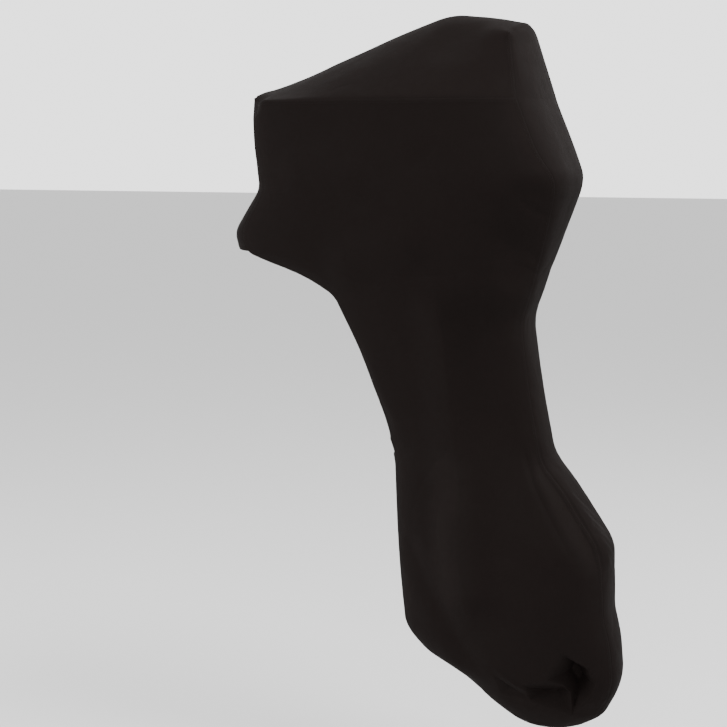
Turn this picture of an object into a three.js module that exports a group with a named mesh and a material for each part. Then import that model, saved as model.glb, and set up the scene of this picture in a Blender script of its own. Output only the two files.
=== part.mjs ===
import * as THREE from 'three';

// A full-length fitted cover for an outboard marine engine, in the shape it takes as it hangs:
// a pitched crown, a deep head with a short chin, a waisted leg and a wide boot tucked under at the keel.
// It is sewn from six pieces of cloth. Millimetres; +X points aft, -Y is the port side, +Z is up.

// Driving dimensions
const clothThickness = 2;
const seamGap = 0.3;
const shoulderHeight = 1365;   // the seam between the side panels and the crown
const mouthBottom = 590;       // where the open mouth in front ends and the boot gusset begins
const chinHeight = 1040;       // the lower hem of the front panel
const seatX = 372;             // where the crown rests on what it covers, under its highest point

// How finely each piece is divided
const sideColumns = 20;
const acrossColumns = 4;
const climbColumns = 3;
const tallestStep = 46;
const tuckStep = 25;           // in the boot's tucked end, up to tuckTop
const tuckTop = 230;
const shortestStep = 11;
const finePoints = 60;         // along half of a section, before its points are spaced evenly
const steepestMitre = 0.5;     // a sharper seam than this is not thickened further
const foldFades = 0.1;         // a fold ends where the cloth turns this far out of its face
const foldFull = 0.6;

// The front of the cover seen from the side: soft is how far the rounding of a corner reaches up and down
const frontOutline = [
  { height: 0, x: 572, soft: 0 },
  { height: 17, x: 528, soft: 6 },
  { height: 97, x: 424, soft: 10 },
  { height: 142, x: 334, soft: 14 },
  { height: 192, x: 280, soft: 24 },
  { height: 354, x: 263, soft: 60 },
  { height: 600, x: 254, soft: 34 },
  { height: 728, x: 188, soft: 40 },
  { height: 870, x: 128, soft: 34 },
  { height: 950, x: 98, soft: 20 },
  { height: 985, x: 34, soft: 12 },
  { height: 1015, x: -52, soft: 8 },
  { height: 1036, x: -103, soft: 5 },
  { height: 1078, x: -112, soft: 18 },
  { height: 1172, x: -37, soft: 18 },
  { height: 1300, x: -46, soft: 40 },
  { height: 1365, x: -44, soft: 0 },
];

// The back of the cover seen from the side, along the middle of the aft gusset
const aftOutline = [
  { height: 0, x: 646, soft: 0 },
  { height: 14, x: 690, soft: 5 },
  { height: 44, x: 738, soft: 12 },
  { height: 120, x: 778, soft: 40 },
  { height: 215, x: 768, soft: 26 },
  { height: 272, x: 752, soft: 20 },
  { height: 420, x: 750, soft: 22 },
  { height: 526, x: 678, soft: 30 },
  { height: 605, x: 612, soft: 26 },
  { height: 718, x: 587, soft: 30 },
  { height: 885, x: 560, soft: 16 },
  { height: 911, x: 562, soft: 12 },
  { height: 1178, x: 652, soft: 14 },
  { height: 1208, x: 654, soft: 14 },
  { height: 1365, x: 590, soft: 0 },
];

// Girth: half of the widest width and where it lies from front (0) to back (1), how boxy the section is
// behind and before that, and the half-widths of the aft gusset and of what is left open or closed in front
const girth = [
  { height: 0, halfWidth: 22, widest: 0.5, aftBoxy: 2.2, frontBoxy: 2.0, gusset: 14, mouth: 13 },
  { height: 10, halfWidth: 40, widest: 0.5, aftBoxy: 2.2, frontBoxy: 2.0, gusset: 22, mouth: 19 },
  { height: 45, halfWidth: 72, widest: 0.55, aftBoxy: 2.3, frontBoxy: 2.0, gusset: 36, mouth: 26 },
  { height: 120, halfWidth: 112, widest: 0.6, aftBoxy: 2.4, frontBoxy: 2.0, gusset: 48, mouth: 32 },
  { height: 260, halfWidth: 146, widest: 0.62, aftBoxy: 2.5, frontBoxy: 2.0, gusset: 56, mouth: 38 },
  { height: 400, halfWidth: 138, widest: 0.58, aftBoxy: 2.5, frontBoxy: 2.1, gusset: 57, mouth: 42 },
  { height: 560, halfWidth: 116, widest: 0.5, aftBoxy: 2.7, frontBoxy: 2.3, gusset: 53, mouth: 50 },
  { height: 720, halfWidth: 108, widest: 0.5, aftBoxy: 2.9, frontBoxy: 2.5, gusset: 50, mouth: 70 },
  { height: 850, halfWidth: 124, widest: 0.5, aftBoxy: 2.8, frontBoxy: 2.6, gusset: 50, mouth: 94 },
  { height: 960, halfWidth: 166, widest: 0.5, aftBoxy: 2.7, frontBoxy: 3.0, gusset: 52, mouth: 138 },
  { height: 1075, halfWidth: 200, widest: 0.5, aftBoxy: 2.8, frontBoxy: 3.4, gusset: 68, mouth: 156 },
  { height: 1190, halfWidth: 213, widest: 0.5, aftBoxy: 3.0, frontBoxy: 4.0, gusset: 104, mouth: 160 },
  { height: 1250, halfWidth: 216, widest: 0.5, aftBoxy: 3.2, frontBoxy: 4.2, gusset: 136, mouth: 162 },
  { height: 1365, halfWidth: 214, widest: 0.5, aftBoxy: 3.2, frontBoxy: 4.4, gusset: 138, mouth: 164 },
];

// The crown from front to back: the ridge, and the hips that part its near-level top from its steep sides
const crownRows = [
  { x: -20, ridge: 1390, hipHalf: 150, hipHeight: 1370, soft: 0 },
  { x: 150, ridge: 1465, hipHalf: 176, hipHeight: 1388, soft: 50 },
  { x: 300, ridge: 1522, hipHalf: 122, hipHeight: 1452, soft: 50 },
  { x: 372, ridge: 1547, hipHalf: 100, hipHeight: 1488, soft: 30 },
  { x: 470, ridge: 1536, hipHalf: 98, hipHeight: 1506, soft: 30 },
  { x: 560, ridge: 1517, hipHalf: 96, hipHeight: 1497, soft: 0 },
];
const crownLean = -28;         // the crown's rear corners lie this far forward of the shoulder below them
const crownAftBow = 12;
const aftBowFade = 4;
const ridgeRounding = 1.5;     // 1 would pitch the top in two flats, 2 would round it like a barrel
const widestHips = 0.94;       // of the shoulder's half-width, where the crown runs down to the front
const bowFade = 6;             // how soon the bow of the front or rear edge fades along the piece

// Main folds. Each runs in a straight line on one face: port and starboard read x and height,
// aft reads y and height, top reads x and y. Depth is outwards, and reach is half of the fold's width.
const folds = {
  slackAcrossThePortSide: { face: 'port', from: [395, 1240], to: [560, 1060], depth: -10, reach: 62 },
  slackAcrossTheFarSide: { face: 'starboard', from: [430, 1250], to: [560, 1090], depth: -8, reach: 66 },
  softSwellNearTheFront: { face: 'port', from: [110, 1212], to: [220, 1206], depth: 7, reach: 70 },
  swellOverTheChin: { face: 'port', from: [210, 1030], to: [335, 1062], depth: 9, reach: 72 },
  swellOverTheFarChin: { face: 'starboard', from: [180, 1080], to: [330, 1030], depth: 8, reach: 72 },
  longHollowDownTheLeg: { face: 'port', from: [455, 900], to: [545, 420], depth: -13, reach: 66 },
  longHollowDownTheFarLeg: { face: 'starboard', from: [440, 880], to: [520, 470], depth: -11, reach: 68 },
  swellAtTheTopOfTheBoot: { face: 'port', from: [390, 520], to: [430, 330], depth: 12, reach: 74 },
  swellOnTheFarBoot: { face: 'starboard', from: [380, 480], to: [450, 300], depth: 10, reach: 70 },
  creaseAlongTheBootNose: { face: 'port', from: [322, 380], to: [462, 165], depth: -12, reach: 50 },
  creaseAlongTheFarNose: { face: 'starboard', from: [330, 340], to: [470, 170], depth: -10, reach: 54 },
  dipBelowTheRearCorner: { face: 'port', from: [600, 1160], to: [560, 1010], depth: -8, reach: 56 },
  dragAcrossTheFlare: { face: 'aft', from: [-40, 590], to: [20, 470], depth: -6, reach: 40 },
  dentBesideTheRidge: { face: 'top', from: [400, -104], to: [450, -100], depth: -10, reach: 60 },
  tuckAftArm: { face: 'port', from: [676, 190], to: [728, 116], depth: -22, reach: 38 },
  tuckForwardArm: { face: 'port', from: [672, 186], to: [640, 128], depth: -13, reach: 36 },
  tuckRunTowardsTheNose: { face: 'port', from: [636, 120], to: [530, 100], depth: -11, reach: 42 },
  tuckOnTheFarSide: { face: 'starboard', from: [660, 180], to: [600, 100], depth: -14, reach: 46 },
};

// Value of one column of a table at a place between its rows: straight between rows, rounded at each
function along(table, key, place, column) {
  const last = table.length - 1;
  let upper = 1;
  while (upper < last && table[upper][key] < place) upper += 1;
  const slope = (index) => (table[index][column] - table[index - 1][column])
    / (table[index][key] - table[index - 1][key]);
  let value = table[upper - 1][column] + slope(upper) * (place - table[upper - 1][key]);
  for (const index of [upper - 1, upper]) {
    if (index < 1 || index >= last) continue;
    const soft = table[index].soft ?? roundingOf(table, key, index);
    const away = Math.abs(place - table[index][key]);
    if (away < soft) value += (slope(index + 1) - slope(index)) * (soft - away) ** 2 / (4 * soft);
  }
  return value;
}

// A row with no rounding of its own is rounded over as much as its neighbours leave
function roundingOf(table, key, index) {
  const here = table[index][key];
  return 0.5 * Math.min(here - table[index - 1][key], table[index + 1][key] - here);
}

const frontAt = (height) => along(frontOutline, 'height', height, 'x');
const aftAt = (height) => along(aftOutline, 'height', height, 'x');
const girthAt = (height, column) => along(girth, 'height', height, column);
const crownAt = (x, column) => along(crownRows, 'x', x, column);

// The fore-and-aft place of the section at a height, at half-width y, on its front or its aft half
function sectionX(height, y, half) {
  const front = frontAt(height);
  const aft = aftAt(height);
  const middle = front + (aft - front) * girthAt(height, 'widest');
  const boxy = girthAt(height, half === 'aft' ? 'aftBoxy' : 'frontBoxy');
  const share = Math.min(1, Math.abs(y) / girthAt(height, 'halfWidth'));
  const reach = (1 - share ** boxy) ** (1 / boxy);
  return middle + ((half === 'aft' ? aft : front) - middle) * reach;
}

// The side of the section from the gusset's seam round to the front seam or hem, in evenly spaced points
function sidePoints(height) {
  const widest = girthAt(height, 'halfWidth');
  const line = [];
  for (const [half, seam] of [['aft', 'gusset'], ['front', 'mouth']]) {
    const start = Math.asin(Math.min(1, girthAt(height, seam) / widest));
    const points = [];
    for (let step = 0; step <= finePoints; step += 1) {
      const y = widest * Math.sin(start + (Math.PI / 2 - start) * step / finePoints);
      points.push(new THREE.Vector2(sectionX(height, y, half), y));
    }
    line.push(...(half === 'aft' ? points : points.reverse().slice(1)));
  }
  const travelled = [0];
  for (let step = 1; step < line.length; step += 1) {
    travelled.push(travelled[step - 1] + line[step].distanceTo(line[step - 1]));
  }
  const even = [];
  let step = 1;
  for (let column = 0; column <= sideColumns; column += 1) {
    const target = travelled.at(-1) * column / sideColumns;
    while (step < line.length - 1 && travelled[step] < target) step += 1;
    const share = (target - travelled[step - 1]) / (travelled[step] - travelled[step - 1]);
    even.push(line[step - 1].clone().lerp(line[step], Math.min(1, share)));
  }
  return even;
}

// Heights of the rows of cloth: every corner of both outlines, and steps between corners that are far apart
function rowHeights() {
  const corners = [...frontOutline, ...aftOutline].map((row) => row.height);
  const fixed = [0, mouthBottom, chinHeight, shoulderHeight];
  const heights = [...fixed];
  for (const corner of corners.sort((a, b) => a - b)) {
    if (heights.every((height) => Math.abs(height - corner) >= shortestStep)) heights.push(corner);
  }
  heights.sort((a, b) => a - b);
  const filled = [heights[0]];
  for (const height of heights.slice(1)) {
    const below = filled.at(-1);
    const steps = Math.ceil((height - below) / (height > tuckTop ? tallestStep : tuckStep));
    for (let step = 1; step <= steps; step += 1) filled.push(below + (height - below) * step / steps);
  }
  return filled;
}

const levels = rowHeights();
const sideRows = levels.map(sidePoints);
const acrossShares = Array.from({ length: acrossColumns + 1 }, (_, index) => 2 * index / acrossColumns - 1);

// A point of the crown: row counts from front to back, column from the port shoulder to the starboard one
function crownPoint(row, column) {
  const total = 2 * climbColumns + acrossColumns;
  const shoulder = sideRows.at(-1)[sideColumns - row];
  const back = row / sideColumns;
  const hipX = shoulder.x + crownLean * back ** 2;
  const hipHalf = Math.min(crownAt(hipX, 'hipHalf'), shoulder.y * widestHips);
  const hipHeight = crownAt(hipX, 'hipHeight');
  const side = column < total / 2 ? -1 : 1;
  const fromShoulder = Math.min(column, total - column);
  if (fromShoulder <= climbColumns) {
    const climb = fromShoulder / climbColumns;
    const y = shoulder.y + (hipHalf - shoulder.y) * climb;
    const frontBow = (sectionX(shoulderHeight, y, 'front') - shoulder.x) * (row === 0 ? 1 : 0);
    const x = shoulder.x + (hipX - shoulder.x) * climb + frontBow;
    return new THREE.Vector3(x, side * y, shoulderHeight + (hipHeight - shoulderHeight) * climb);
  }
  const share = acrossShares[column - climbColumns];
  const ridge = crownAt(hipX, 'ridge');
  const height = ridge - (ridge - hipHeight) * Math.abs(share) ** ridgeRounding;
  const bow = sectionX(shoulderHeight, share * hipHalf, 'front') - shoulder.x;
  const frontBow = bow * (1 - back) ** bowFade;
  const aftBow = crownAftBow * (1 - share ** 2) * back ** aftBowFade;
  return new THREE.Vector3(hipX + frontBow + aftBow, share * hipHalf, height);
}

// Each patch is a grid of outer points. Outward says which way round its rows and columns turn.
const patches = [];

function addPatch(name, rows, columns, outward, pointAt) {
  const points = [];
  for (let row = 0; row <= rows; row += 1) {
    points.push(Array.from({ length: columns + 1 }, (_, column) => pointAt(row, column)));
  }
  patches.push({ name, points, outward });
}

for (const [name, side] of [['side_panel_port', -1], ['side_panel_starboard', 1]]) {
  addPatch(name, levels.length - 1, sideColumns, side, (row, column) => {
    const point = sideRows[row][column];
    return new THREE.Vector3(point.x, side * point.y, levels[row]);
  });
}

addPatch('crown_panel', sideColumns, 2 * climbColumns + acrossColumns, -1, crownPoint);

// A point across the cover at one height, on the aft gusset or on what closes the front
function acrossPoint(height, share, half) {
  const y = share * girthAt(height, half === 'aft' ? 'gusset' : 'mouth');
  return new THREE.Vector3(sectionX(height, y, half), y, height);
}

// The aft gusset runs up to the shoulder and on to the crown's rear edge, which it meets all along
addPatch('aft_gusset', levels.length - 1 + climbColumns, acrossColumns, 1, (row, column) => {
  const share = acrossShares[column];
  if (row < levels.length) return acrossPoint(levels[row], share, 'aft');
  const climb = (row - levels.length + 1) / climbColumns;
  const top = crownPoint(sideColumns, climbColumns + column);
  return acrossPoint(shoulderHeight, share, 'aft').lerp(top, climb);
});

// The front panel hangs from the crown's front edge to the chin's hem
const chinRow = levels.indexOf(chinHeight);
addPatch('front_panel', levels.length - 1 - chinRow, 2 * climbColumns + acrossColumns, -1, (row, column) => {
  const height = levels[chinRow + row];
  const top = crownPoint(0, column);
  const share = top.y / girthAt(shoulderHeight, 'mouth');
  const point = acrossPoint(height, share, 'front');
  point.z += (top.z - shoulderHeight) * (height - chinHeight) / (shoulderHeight - chinHeight);
  return point;
});

// The boot gusset runs down from the mouth's lower end and on under the keel to the aft gusset
const mouthRow = levels.indexOf(mouthBottom);
addPatch('boot_gusset', mouthRow + sideColumns, acrossColumns, 1, (row, column) => {
  const share = acrossShares[column];
  if (row <= mouthRow) return acrossPoint(levels[mouthRow - row], share, 'front');
  const back = (row - mouthRow) / sideColumns;
  const edge = sideRows[0][sideColumns - (row - mouthRow)];
  const frontBow = (acrossPoint(0, share, 'front').x - sideRows[0][sideColumns].x) * (1 - back) ** bowFade;
  const aftBow = (acrossPoint(0, share, 'aft').x - sideRows[0][0].x) * back ** bowFade;
  return new THREE.Vector3(edge.x + frontBow + aftBow, share * edge.y, 0);
});

// Normals shared by all pieces that meet at a point, so that their edges are mitred to each other
function sharedNormals() {
  const shared = new Map();
  for (const patch of patches) {
    patch.keys ??= patch.points.map((row) => row.map((p) => p.toArray().map((c) => c.toFixed(2)).join()));
    patch.own = patch.points.map((row, i) => row.map((_, j) => ownNormal(patch, i, j)));
    patch.keys.forEach((row, i) => row.forEach((key, j) => {
      if (!shared.has(key)) shared.set(key, new THREE.Vector3());
      shared.get(key).add(patch.own[i][j]);
    }));
  }
  for (const normal of shared.values()) normal.normalize();
  for (const patch of patches) patch.normals = patch.keys.map((row) => row.map((key) => shared.get(key)));
}

// Outward normal of one patch at one of its points, from its neighbours in the grid
function ownNormal(patch, row, column) {
  const { points, outward } = patch;
  const clamp = (value, most) => Math.max(0, Math.min(most, value));
  const pick = (i, j) => points[clamp(i, points.length - 1)][clamp(j, points[0].length - 1)];
  const up = pick(row + 1, column).clone().sub(pick(row - 1, column));
  const across = pick(row, column + 1).clone().sub(pick(row, column - 1));
  return across.cross(up).multiplyScalar(outward).normalize();
}

// How far the folds move a point out along its normal
function foldDepth(point, normal) {
  const facing = { port: -normal.y, starboard: normal.y, aft: normal.x, top: normal.z };
  const seen = {
    port: [point.x, point.z], starboard: [point.x, point.z], aft: [point.y, point.z], top: [point.x, point.y],
  };
  let depth = 0;
  for (const fold of Object.values(folds)) {
    const weight = THREE.MathUtils.smoothstep(facing[fold.face], foldFades, foldFull);
    if (weight === 0) continue;
    const start = new THREE.Vector2(...fold.from);
    const run = new THREE.Vector2(...fold.to).sub(start);
    const offset = new THREE.Vector2(...seen[fold.face]).sub(start);
    const share = THREE.MathUtils.clamp(offset.dot(run) / run.lengthSq(), 0, 1);
    const away = offset.sub(run.multiplyScalar(share)).length() / fold.reach;
    if (away < 1) depth += weight * fold.depth * (0.5 + 0.5 * Math.cos(Math.PI * away));
  }
  return depth;
}

// The direction in the cloth that leads straight away from its edge, at a point on that edge
function fromSeam(patch, row, column, i, j) {
  const { points, own } = patch;
  const pick = (a, b) => points[Math.max(0, Math.min(points.length - 1, a))][
    Math.max(0, Math.min(points[0].length - 1, b))];
  const edge = pick(row + Math.abs(j), column + Math.abs(i)).clone()
    .sub(pick(row - Math.abs(j), column - Math.abs(i)));
  const away = edge.cross(own[row][column]).normalize();
  const inland = points[row + i][column + j].clone().sub(points[row][column]);
  return away.dot(inland) < 0 ? away.negate() : away;
}

// The closed sheet of cloth of one patch: outer face, inner face, and the rim between them
function sheet(patch) {
  const rows = patch.points.length;
  const columns = patch.points[0].length;
  const positions = [];
  const faces = [];
  const inwardStep = (index, most) => (index === 0 ? 1 : 0) - (index === most ? 1 : 0);
  for (const layer of [0, 1]) {
    for (let row = 0; row < rows; row += 1) {
      for (let column = 0; column < columns; column += 1) {
        const normal = patch.normals[row][column];
        const point = patch.points[row][column].clone();
        for (const [i, j] of [[inwardStep(row, rows - 1), 0], [0, inwardStep(column, columns - 1)]]) {
          if (i !== 0 || j !== 0) point.addScaledVector(fromSeam(patch, row, column, i, j), seamGap / 2);
        }
        const mitre = Math.max(steepestMitre, normal.dot(patch.own[row][column]));
        point.addScaledVector(normal, -layer * clothThickness / mitre);
        positions.push(point.x, point.y, point.z);
      }
    }
  }
  const inner = rows * columns;
  const vertex = (index) => new THREE.Vector3().fromArray(positions, 3 * index);
  const apart = (a, b) => vertex(a).distanceTo(vertex(b));
  const quad = (a, b, c, d) => faces.push(a, b, c, a, c, d);
  const even = (a, b, c, d) => (apart(a, c) <= apart(b, d) ? quad(a, b, c, d) : quad(b, c, d, a));
  const face = (a, b, c, d, turned) => (turned ? even(a, b, c, d) : even(d, c, b, a));
  const turned = patch.outward > 0;
  for (let row = 0; row < rows - 1; row += 1) {
    for (let column = 0; column < columns - 1; column += 1) {
      const a = row * columns + column;
      const [b, c, d] = [a + 1, a + columns + 1, a + columns];
      face(a, b, c, d, turned);
      face(a + inner, b + inner, c + inner, d + inner, !turned);
    }
  }
  for (let row = 0; row < rows - 1; row += 1) {
    for (const column of [0, columns - 1]) {
      const a = row * columns + column;
      face(a, a + columns, a + columns + inner, a + inner, turned === (column === 0));
    }
  }
  for (let column = 0; column < columns - 1; column += 1) {
    for (const row of [0, rows - 1]) {
      const a = row * columns + column;
      face(a, a + 1, a + 1 + inner, a + inner, turned === (row !== 0));
    }
  }
  const geometry = new THREE.BufferGeometry();
  geometry.setAttribute('position', new THREE.Float32BufferAttribute(positions, 3));
  geometry.setIndex(faces);
  geometry.computeVertexNormals();
  return geometry;
}

sharedNormals();
for (const patch of patches) {
  patch.points = patch.points.map((row, i) => row.map((point, j) => {
    const normal = patch.normals[i][j];
    return point.clone().addScaledVector(normal, foldDepth(point, normal));
  }));
}
sharedNormals();

const cover = new THREE.Group();
for (const patch of patches) {
  const cloth = new THREE.MeshStandardMaterial({ color: 0x171413, roughness: 0.82, metalness: 0 });
  const piece = new THREE.Mesh(sheet(patch), cloth);
  piece.name = patch.name;
  cover.add(piece);
}
cover.position.set(-seatX, 0, clothThickness - crownAt(seatX, 'ridge'));

export default cover;
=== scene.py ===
"""Looks of a full-length fitted cover for an outboard marine engine.

The cover is sewn from six pieces of matt black woven polyester and is drawn in the shape in which it hangs.
Sizes are in metres. Heights are counted up from the keel of the boot, and x runs aft, until `Form.placed`
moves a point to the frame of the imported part.
"""
import logging
import math
from dataclasses import dataclass, field
from enum import Enum
from typing import Any, Callable, Sequence

import bpy
import numpy as np
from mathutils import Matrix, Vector, noise


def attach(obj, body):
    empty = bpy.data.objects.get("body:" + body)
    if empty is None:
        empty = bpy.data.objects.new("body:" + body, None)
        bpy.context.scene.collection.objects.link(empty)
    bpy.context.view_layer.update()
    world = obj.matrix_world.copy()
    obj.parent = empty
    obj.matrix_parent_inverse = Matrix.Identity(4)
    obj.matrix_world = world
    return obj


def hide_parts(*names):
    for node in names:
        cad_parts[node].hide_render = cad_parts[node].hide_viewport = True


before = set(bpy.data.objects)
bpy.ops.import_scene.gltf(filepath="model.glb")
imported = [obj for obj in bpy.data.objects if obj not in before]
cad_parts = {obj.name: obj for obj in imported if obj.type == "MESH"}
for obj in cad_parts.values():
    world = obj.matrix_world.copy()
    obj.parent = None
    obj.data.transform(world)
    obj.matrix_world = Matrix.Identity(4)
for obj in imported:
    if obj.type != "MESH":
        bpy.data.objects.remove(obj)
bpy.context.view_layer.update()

LOG = logging.getLogger("engine_cover")
BODY = "root"
Array = np.ndarray
Path = tuple[tuple[float, float], ...]
Colour = tuple[float, float, float, float]
Inputs = dict[str | int, Any]

TINY = 1e-12
FACING_FROM = 0.1
FACING_FADE = 0.5
HEAP_PLACE = 1.1
SECTION_SAMPLES = 200
HEIGHT_SAMPLE = 0.0005


def smooth(share: Array) -> Array:
    """A smooth step from 0 to 1 as the share goes from 0 to 1."""
    share = np.clip(share, 0.0, 1.0)
    return share * share * (3 - 2 * share)


def bell(away: Array) -> Array:
    """A soft swell that is 1 at no distance and 0 from a distance of 1."""
    return 0.5 + 0.5 * np.cos(np.pi * np.clip(np.abs(away), 0.0, 1.0))


def unit(vectors: Array) -> Array:
    """The vectors at length one."""
    return vectors / np.maximum(np.linalg.norm(vectors, axis=-1, keepdims=True), TINY)


def added_up(steps: Array, axis: int = 0) -> Array:
    """The distances that the steps along one axis add up to, beginning with 0."""
    total = np.cumsum(np.linalg.norm(steps, axis=-1), axis=axis)
    return np.concatenate([np.zeros_like(np.take(total, [0], axis=axis)), total], axis=axis)


def travelled_along(points: Array) -> Array:
    """Distance from the first point to each point of a line."""
    return added_up(np.diff(points, axis=0))


def picked(at: Array | float, places: Array, values: Array) -> Array:
    """Vectors read off at some places along a line of them, whose own places rise."""
    return np.stack([np.interp(at, places, column) for column in values.T], axis=-1)


def along(rows: Sequence[Any], column: str, place: Array | float) -> Array:
    """One column of a table between its rows: straight between rows and rounded at each.

    Args:
        rows: the table, in rising order of its column at.
        column: the column that is wanted.
        place: where it is wanted.

    Returns:
        The values there.
    """
    place = np.asarray(place, float)
    places, values = (np.array([getattr(row, key) for row in rows]) for key in ("at", column))
    slopes = np.diff(values) / np.diff(places)
    span = np.clip(np.searchsorted(places, place) - 1, 0, len(slopes) - 1)
    result = values[span] + slopes[span] * (place - places[span])
    for index in range(1, len(rows) - 1):
        near = min(places[index] - places[index - 1], places[index + 1] - places[index])
        soft = getattr(rows[index], "soft", near / 2)
        left = np.clip(soft - np.abs(place - places[index]), 0.0, None)
        result = result + (slopes[index] - slopes[index - 1]) * left**2 / (4 * soft)
    return result


def edge_steps(length: float, middle: int) -> Array:
    """Distances along a line from 0 to its length, dense near both of its ends.

    Args:
        length: how long the line is.
        middle: how many even steps lie between the dense ends.

    Returns:
        The distances.
    """
    start = np.array(NEAR_EDGE) * min(1.0, length / (4 * NEAR_EDGE[-1]))
    even = np.linspace(start[-1], length - start[-1], middle + 1)
    return np.concatenate([start[:-1], even, (length - start[:-1])[::-1]])


class Half(Enum):
    """The two halves of a level section, each with the column of the girth table that ends it."""

    FRONT = "mouth"
    AFT = "gusset"


class Face(Enum):
    """A way that cloth faces: its direction, and the two axes that place a fold on it."""

    PORT = ((0.0, -1.0, 0.0), (0, 2))
    STARBOARD = ((0.0, 1.0, 0.0), (0, 2))
    AFT = ((1.0, 0.0, 0.0), (1, 2))
    TOP = ((0.0, 0.0, 1.0), (0, 1))

    def weight(self, normals: Array) -> Array:
        """How far each normal faces this way, from 0 to 1."""
        return smooth((normals @ np.array(self.value[0]) - FACING_FROM) / FACING_FADE)

    def seen(self, points: Array) -> Array:
        """The two measures of each point on this face."""
        return points[..., list(self.value[1])]


PORT, STARBOARD, AFT, TOP = Face
SIDES = ((PORT, -1), (STARBOARD, 1))


@dataclass(frozen=True)
class Corner:
    """A corner of the outline from the side: its height, and how far its rounding reaches up and down."""

    at: float
    x: float
    soft: float


@dataclass(frozen=True)
class Girth:
    """The level section at one height.

    Attributes:
        at: the height.
        half_width: half of its greatest width.
        widest: where that width lies, from the front (0) to the back (1).
        aft_boxy: how square its aft half is, 2 being an ellipse.
        front_boxy: the same for its front half.
        gusset: half of the width of the aft gusset.
        mouth: half of the width of what is open or closed in front.
    """

    at: float
    half_width: float
    widest: float
    aft_boxy: float
    front_boxy: float
    gusset: float
    mouth: float


@dataclass(frozen=True)
class CrownRow:
    """The crown at one x: its ridge, and the hips that part its top from its steep sides."""

    at: float
    ridge: float
    hip_half: float
    hip_height: float
    soft: float


@dataclass(frozen=True)
class Fold:
    """A trough or ridge in the cloth that follows some points on one face.

    Attributes:
        face: the face that it lies on.
        path: the points of its middle line, in the face's two measures.
        depth: how far it moves the cloth outwards; a trough is negative.
        reach: half of its width.
        sharp: how much of it is a sharp line, from 0 to 1.
        heaped: height of the cloth that it heaps up on both sides, as a share of its depth.
        runs_out: whether it fades away towards its ends.
    """

    face: Face
    path: Path
    depth: float
    reach: float
    sharp: float = 0.0
    heaped: float = 0.0
    runs_out: bool = False

    def lift(self, points: Array, normals: Array) -> Array:
        """How far the fold moves each point outwards.

        Args:
            points: places on the cloth.
            normals: the outward directions there.

        Returns:
            One distance for each point.
        """
        seen, path = self.face.seen(points), np.array(self.path)
        marks = travelled_along(path)
        away = np.full(seen.shape[:-1], np.inf)
        share = np.zeros_like(away)
        for index, start in enumerate(path[:-1]):
            run = path[index + 1] - start
            part = np.clip((seen - start) @ run / (run @ run), 0.0, 1.0)
            distance = np.linalg.norm(seen - start - part[..., None] * run, axis=-1)
            share = np.where(distance < away, marks[index] + part * (marks[index + 1] - marks[index]), share)
            away = np.minimum(away, distance)
        away = away / self.reach
        profile = (1 - self.sharp) * bell(away) + self.sharp * np.clip(1 - away, 0, 1) ** 3
        profile = profile - self.heaped * bell(away - HEAP_PLACE)
        if self.runs_out:
            profile = profile * np.sqrt(np.sin(np.pi * np.clip(share / marks[-1], 0.0, 1.0)))
        return self.depth * profile * self.face.weight(normals)


def crease(
    face: Face, path: Path, depth: float, reach: float, sharp: float = 0.5, heaped: float = 0.3
) -> Fold:
    """A narrow fold that heaps the cloth up beside it and runs out at both ends."""
    return Fold(face, path, depth, reach, sharp, heaped, runs_out=True)


@dataclass(frozen=True)
class Tuck:
    """A pocket pressed into the cloth between straight walls.

    Attributes:
        face: the face that it lies on.
        corners: its corners in turn, anticlockwise in the face's two measures.
        walls: how wide the slope of the wall after each corner is.
        depth: how deep the pocket is.
        bent: 1 makes flat walls, and more makes them steeper towards the bottom.
    """

    face: Face
    corners: Path
    walls: tuple[float, ...]
    depth: float
    bent: float = 1.1

    def lift(self, points: Array, normals: Array) -> Array:
        """How far the pocket moves each point outwards.

        Args:
            points: places on the cloth.
            normals: the outward directions there.

        Returns:
            One distance for each point, none of them above zero.
        """
        seen, corners = self.face.seen(points), np.array(self.corners)
        inside = np.full(seen.shape[:-1], np.inf)
        for start, end, wall in zip(corners, np.roll(corners, -1, axis=0), self.walls):
            run = end - start
            inward = np.array([-run[1], run[0]]) / np.linalg.norm(run)
            inside = np.minimum(inside, (seen - start) @ inward / wall)
        return -self.depth * np.clip(inside, 0, 1) ** self.bent * self.face.weight(normals)


FRONT_OUTLINE = (
    Corner(0.000, 0.572, 0.000),
    Corner(0.017, 0.528, 0.006),
    Corner(0.097, 0.424, 0.010),
    Corner(0.142, 0.334, 0.014),
    Corner(0.192, 0.280, 0.024),
    Corner(0.354, 0.263, 0.060),
    Corner(0.600, 0.254, 0.034),
    Corner(0.728, 0.188, 0.040),
    Corner(0.870, 0.128, 0.034),
    Corner(0.950, 0.098, 0.020),
    Corner(0.985, 0.034, 0.012),
    Corner(1.015, -0.052, 0.008),
    Corner(1.036, -0.103, 0.005),
    Corner(1.078, -0.112, 0.018),
    Corner(1.172, -0.037, 0.018),
    Corner(1.300, -0.046, 0.040),
    Corner(1.365, -0.044, 0.000),
)

AFT_OUTLINE = (
    Corner(0.000, 0.646, 0.000),
    Corner(0.014, 0.690, 0.005),
    Corner(0.044, 0.738, 0.012),
    Corner(0.120, 0.778, 0.040),
    Corner(0.215, 0.768, 0.026),
    Corner(0.272, 0.752, 0.020),
    Corner(0.420, 0.750, 0.022),
    Corner(0.526, 0.678, 0.030),
    Corner(0.605, 0.612, 0.026),
    Corner(0.718, 0.587, 0.030),
    Corner(0.885, 0.560, 0.016),
    Corner(0.911, 0.562, 0.012),
    Corner(1.178, 0.652, 0.014),
    Corner(1.208, 0.654, 0.014),
    Corner(1.365, 0.590, 0.000),
)

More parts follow.
